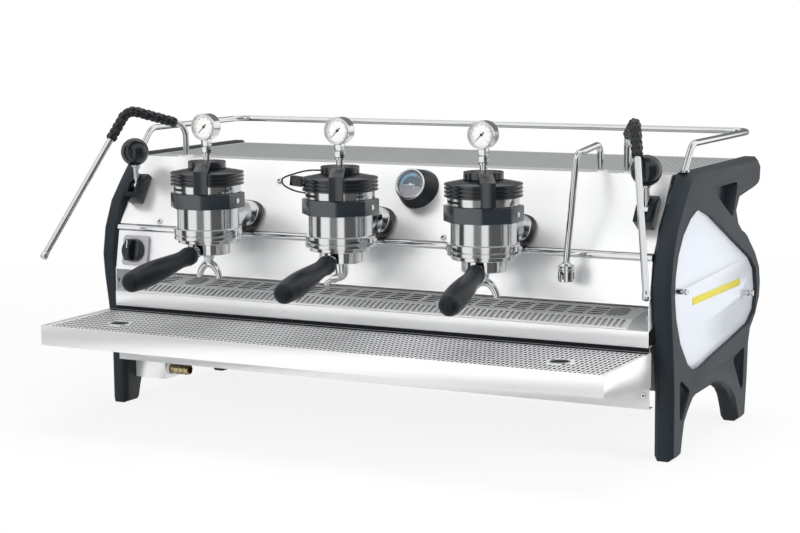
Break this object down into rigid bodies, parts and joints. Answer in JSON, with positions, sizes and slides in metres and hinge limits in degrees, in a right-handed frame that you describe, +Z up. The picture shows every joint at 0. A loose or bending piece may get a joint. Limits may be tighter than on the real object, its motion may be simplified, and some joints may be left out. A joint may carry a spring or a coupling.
{
  "type": "commercial espresso machine",
  "caption": "Countertop espresso machine with brew groups, portafilters, hand paddles, steam wands with levers, hot water tap, drip tray and a railed cup tray.",
  "frame": {"origin": "centre of the bounding box's footprint, on the counter under the feet", "axes": "+Z up, -Y towards the person who works at the front, +X to that person's right"},
  "size_m": [1.0412, 0.7088, 0.5009],
  "materials": {
    "side_panel_left": "satin black cast and painted aluminium",
    "side_insert_left": "pale satin sheet",
    "side_panel_right": "satin black cast and painted aluminium",
    "side_insert_right": "pale satin sheet",
    "front_panel_upper": "polished stainless steel",
    "front_panel_lower": "fine brushed",
    "front_trim": "polished strip",
    "cup_tray": "pressed pattern, satin",
    "rear_panel": "fine brushed",
    "base_pan": "matt grey",
    "front_skirt": "fine brushed",
    "deck_frame": "fine brushed",
    "deck_plate": "fine brushed, slotted",
    "tray_pan": "satin",
    "tray_grate": "satin, slotted",
    "drain_box": "satin",
    "drain_barb": "turned brass",
    "group_body_left": "turned and polished steel",
    "group_collar_left": "satin black clamp",
    "group_cap_left": "black finned cap",
    "paddle_left": "black moulded",
    "gauge_left": "chromed case",
    "needle_left": "black pointer",
    "portafilter_left": "chromed brass",
    "portafilter_handle_left": "black moulded grip",
    "group_body_middle": "turned and polished steel",
    "group_collar_middle": "satin black clamp",
    "group_cap_middle": "black finned cap",
    "paddle_middle": "black moulded",
    "gauge_middle": "chromed case",
    "needle_middle": "black pointer",
    "portafilter_middle": "chromed brass",
    "portafilter_handle_middle": "black moulded grip",
    "group_body_right": "turned and polished steel",
    "group_collar_right": "satin black clamp",
    "group_cap_right": "black finned cap",
    "paddle_right": "black moulded",
    "gauge_right": "chromed case",
    "needle_right": "black pointer",
    "portafilter_right": "chromed brass",
    "portafilter_handle_right": "black moulded grip",
    "cap_sensor": "black block",
    "sensor_cable": "thin black lead",
    "boiler_gauge": "black drum",
    "needle_boiler": "pale pointer",
    "steam_wand_left": "polished tube",
    "wand_grip_left": "knobbed black sleeve",
    "lever_housing_left": "black block",
    "steam_lever_left": "black ball on a chromed stem",
    "steam_wand_right": "polished tube",
    "wand_grip_right": "knobbed black sleeve",
    "lever_housing_right": "black block",
    "steam_lever_right": "black ball on a chromed stem",
    "hot_water_tap": "polished tube",
    "switch_plate": "grey moulded plate",
    "switch_knob": "black moulded knob",
    "cup_rail": "polished tube",
    "steam_boiler": "copper boiler",
    "coffee_boilers": "copper boilers",
    "control_box": "matt grey box"
  },
  "bodies": {
    "machine": {"side_panel_left": "side_panel_left", "side_insert_left": "side_insert_left", "side_panel_right": "side_panel_right", "side_insert_right": "side_insert_right", "front_panel_upper": "front_panel_upper", "front_panel_lower": "front_panel_lower", "front_trim": "front_trim", "cup_tray": "cup_tray", "rear_panel": "rear_panel", "base_pan": "base_pan", "front_skirt": "front_skirt", "deck_frame": "deck_frame", "deck_plate": "deck_plate", "drain_box": "drain_box", "drain_barb": "drain_barb", "group_body_left": "group_body_left", "group_collar_left": "group_collar_left", "group_cap_left": "group_cap_left", "gauge_left": "gauge_left", "group_body_middle": "group_body_middle", "group_collar_middle": "group_collar_middle", "group_cap_middle": "group_cap_middle", "gauge_middle": "gauge_middle", "group_body_right": "group_body_right", "group_collar_right": "group_collar_right", "group_cap_right": "group_cap_right", "gauge_right": "gauge_right", "cap_sensor": "cap_sensor", "sensor_cable": "sensor_cable", "boiler_gauge": "boiler_gauge", "lever_housing_left": "lever_housing_left", "lever_housing_right": "lever_housing_right", "switch_plate": "switch_plate", "cup_rail": "cup_rail", "steam_boiler": "steam_boiler", "coffee_boilers": "coffee_boilers", "control_box": "control_box"},
    "portafilter_left": {"portafilter_left": "portafilter_left", "portafilter_handle_left": "portafilter_handle_left"},
    "paddle_left": {"paddle_left": "paddle_left"},
    "needle_left": {"needle_left": "needle_left"},
    "portafilter_middle": {"portafilter_middle": "portafilter_middle", "portafilter_handle_middle": "portafilter_handle_middle"},
    "paddle_middle": {"paddle_middle": "paddle_middle"},
    "needle_middle": {"needle_middle": "needle_middle"},
    "portafilter_right": {"portafilter_right": "portafilter_right", "portafilter_handle_right": "portafilter_handle_right"},
    "paddle_right": {"paddle_right": "paddle_right"},
    "needle_right": {"needle_right": "needle_right"},
    "needle_boiler": {"needle_boiler": "needle_boiler"},
    "wand_left": {"steam_wand_left": "steam_wand_left", "wand_grip_left": "wand_grip_left"},
    "steam_lever_left": {"steam_lever_left": "steam_lever_left"},
    "wand_right": {"steam_wand_right": "steam_wand_right", "wand_grip_right": "wand_grip_right"},
    "steam_lever_right": {"steam_lever_right": "steam_lever_right"},
    "tap": {"hot_water_tap": "hot_water_tap"},
    "knob": {"switch_knob": "switch_knob"},
    "tray": {"tray_pan": "tray_pan"},
    "grate": {"tray_grate": "tray_grate"}
  },
  "joints": [
    {"name": "portafilter_turn_left", "type": "hinge", "parent": "machine", "child": "portafilter_left", "pos_m": [-0.239, -0.15058, 0.3], "axis": [0, 0, 1], "range_deg": [-46, 0]},
    {"name": "paddle_turn_left", "type": "hinge", "parent": "machine", "child": "paddle_left", "pos_m": [-0.239, -0.15058, 0.41], "axis": [0, 0, 1], "range_deg": [-60, 0]},
    {"name": "pressure_needle_left", "type": "hinge", "parent": "machine", "child": "needle_left", "pos_m": [-0.239, -0.15768, 0.4777], "axis": [0, 1, 0], "range_deg": [0, 270]},
    {"name": "portafilter_turn_middle", "type": "hinge", "parent": "machine", "child": "portafilter_middle", "pos_m": [0, -0.15058, 0.3], "axis": [0, 0, 1], "range_deg": [-54, 0]},
    {"name": "paddle_turn_middle", "type": "hinge", "parent": "machine", "child": "paddle_middle", "pos_m": [0, -0.15058, 0.41], "axis": [0, 0, 1], "range_deg": [-60, 0]},
    {"name": "pressure_needle_middle", "type": "hinge", "parent": "machine", "child": "needle_middle", "pos_m": [0, -0.15768, 0.4777], "axis": [0, 1, 0], "range_deg": [0, 270]},
    {"name": "portafilter_turn_right", "type": "hinge", "parent": "machine", "child": "portafilter_right", "pos_m": [0.239, -0.15058, 0.3], "axis": [0, 0, 1], "range_deg": [-61, 0]},
    {"name": "paddle_turn_right", "type": "hinge", "parent": "machine", "child": "paddle_right", "pos_m": [0.239, -0.15058, 0.41], "axis": [0, 0, 1], "range_deg": [-60, 0]},
    {"name": "pressure_needle_right", "type": "hinge", "parent": "machine", "child": "needle_right", "pos_m": [0.239, -0.15768, 0.4777], "axis": [0, 1, 0], "range_deg": [0, 270]},
    {"name": "boiler_needle", "type": "hinge", "parent": "machine", "child": "needle_boiler", "pos_m": [0.065, -0.0456, 0.38891], "axis": [0, 0.9304, -0.3665], "range_deg": [0, 180]},
    {"name": "wand_swing_left", "type": "hinge", "parent": "machine", "child": "wand_left", "pos_m": [-0.394, 0.02142, 0.42], "axis": [0, 0, 1], "range_deg": [-30, 12]},
    {"name": "steam_lever_left", "type": "hinge", "parent": "machine", "child": "steam_lever_left", "pos_m": [-0.45, -0.04314, 0.36622], "axis": [1, 0, 0], "range_deg": [0, 12]},
    {"name": "wand_swing_right", "type": "hinge", "parent": "machine", "child": "wand_right", "pos_m": [0.394, 0.02142, 0.42], "axis": [0, 0, 1], "range_deg": [-12, 30]},
    {"name": "steam_lever_right", "type": "hinge", "parent": "machine", "child": "steam_lever_right", "pos_m": [0.45, -0.04314, 0.36622], "axis": [1, 0, 0], "range_deg": [0, 12]},
    {"name": "tap_swing", "type": "hinge", "parent": "machine", "child": "tap", "pos_m": [0.351, 0.02142, 0.42], "axis": [0, 0, 1], "range_deg": [-28, 15]},
    {"name": "power_switch", "type": "hinge", "parent": "machine", "child": "knob", "pos_m": [-0.43, -0.0833, 0.26445], "axis": [0, 0.9838, -0.1795], "range_deg": [0, 120]},
    {"name": "tray_draw", "type": "slide", "parent": "machine", "child": "tray", "axis": [0, -0.9941, 0.1081], "range_m": [0, 0.14]},
    {"name": "grate_lift", "type": "slide", "parent": "tray", "child": "grate", "axis": [0, 0, 1], "range_m": [0, 0.045]}
  ]
}
